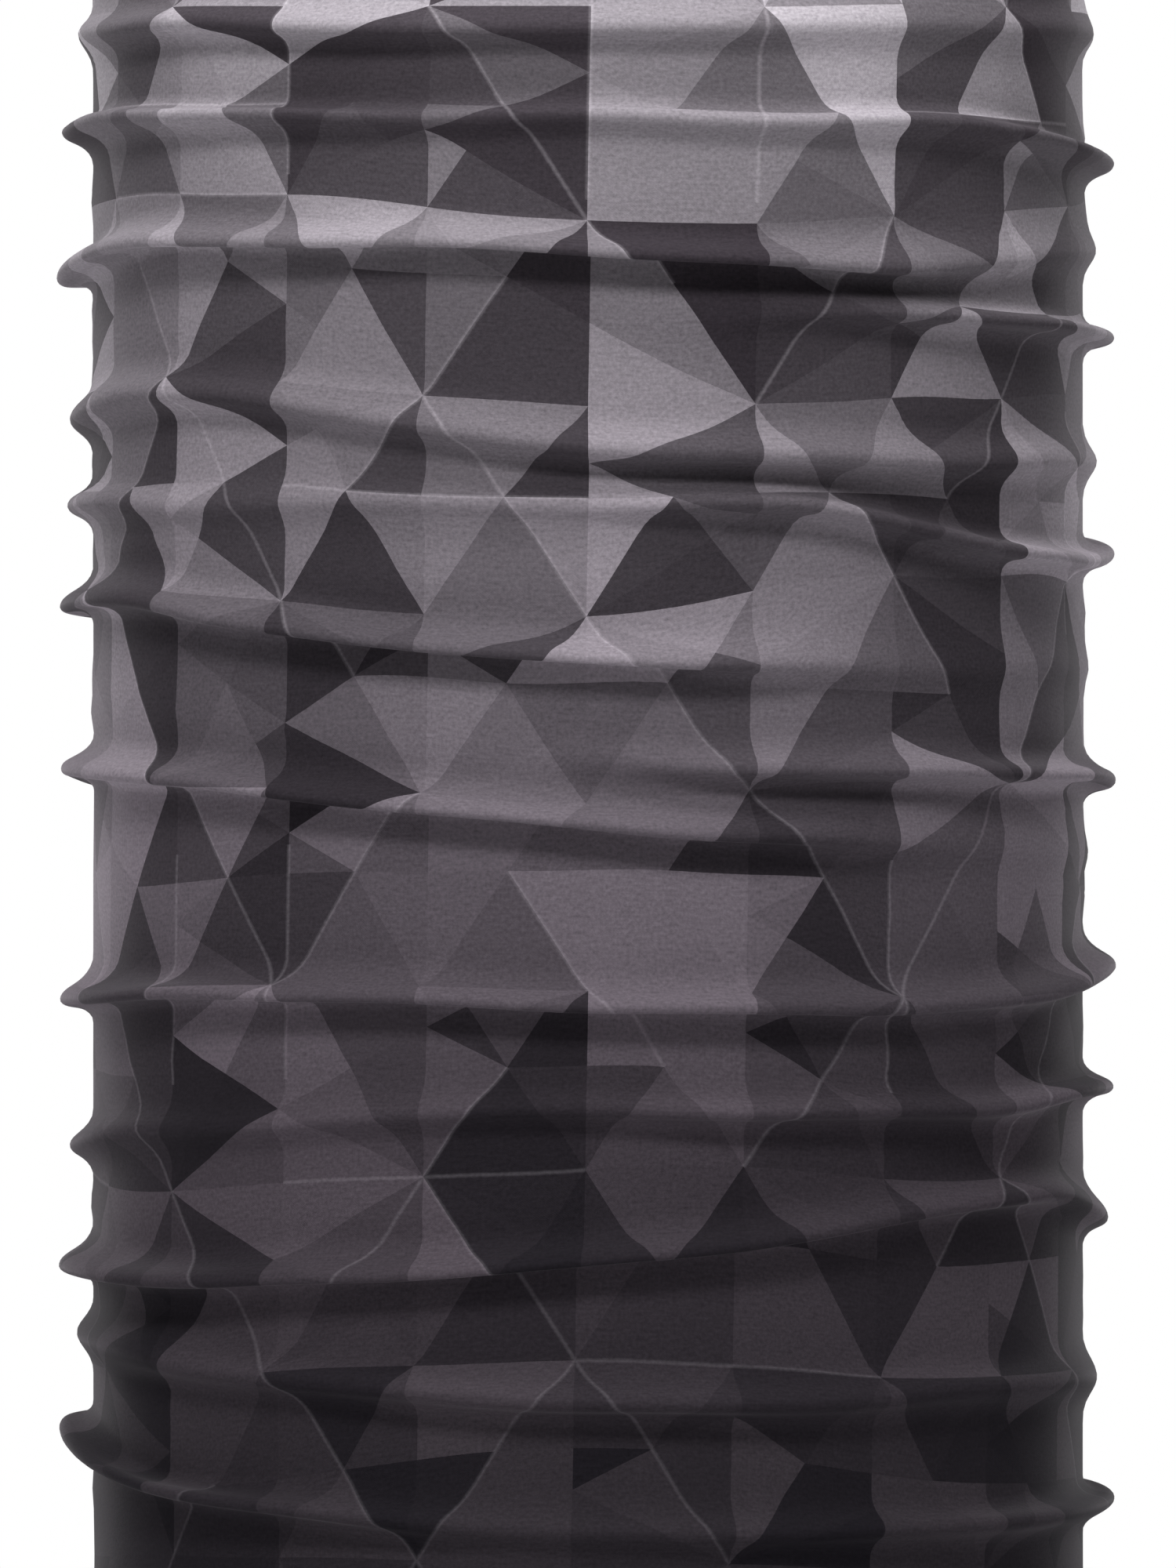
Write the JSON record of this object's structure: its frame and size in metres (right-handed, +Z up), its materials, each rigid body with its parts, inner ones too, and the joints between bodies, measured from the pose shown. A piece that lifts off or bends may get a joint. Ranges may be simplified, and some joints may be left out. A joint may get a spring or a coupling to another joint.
{
  "type": "neck gaiter",
  "caption": "Seamless knitted neck tube with hemmed ends, gathered into soft horizontal folds, with a grey faceted print that darkens towards the bottom.",
  "frame": {"origin": "middle of the bottom edge, on the surface the gaiter stands on", "axes": "+Z up along the tube to its paler top edge, -Y the front, +X to the right as seen from the front"},
  "size_m": [0.1632, 0.1632, 0.29],
  "materials": {
    "printed_knit": "matte",
    "hem_knit_dark": "matte",
    "hem_knit_pale": "matte",
    "hem_thread": "satin",
    "label_satin": "satin"
  },
  "bodies": {
    "gaiter_body": {"tube_body": "printed_knit", "bottom_hem": "hem_knit_dark", "bottom_needle_thread_edge": "hem_thread", "bottom_needle_thread_inner": "hem_thread", "bottom_looper_thread": "hem_thread", "care_label": "label_satin", "care_label_stitch": "hem_thread"},
    "top_edge": {"top_hem": "hem_knit_pale", "top_needle_thread_edge": "hem_thread", "top_needle_thread_inner": "hem_thread", "top_looper_thread": "hem_thread"}
  },
  "joints": [
    {"name": "top_edge_pull", "type": "slide", "parent": "gaiter_body", "child": "top_edge", "axis": [0, 0, 1], "range_m": [-0.1, 0.1], "deforming": ["tube_body"]}
  ]
}
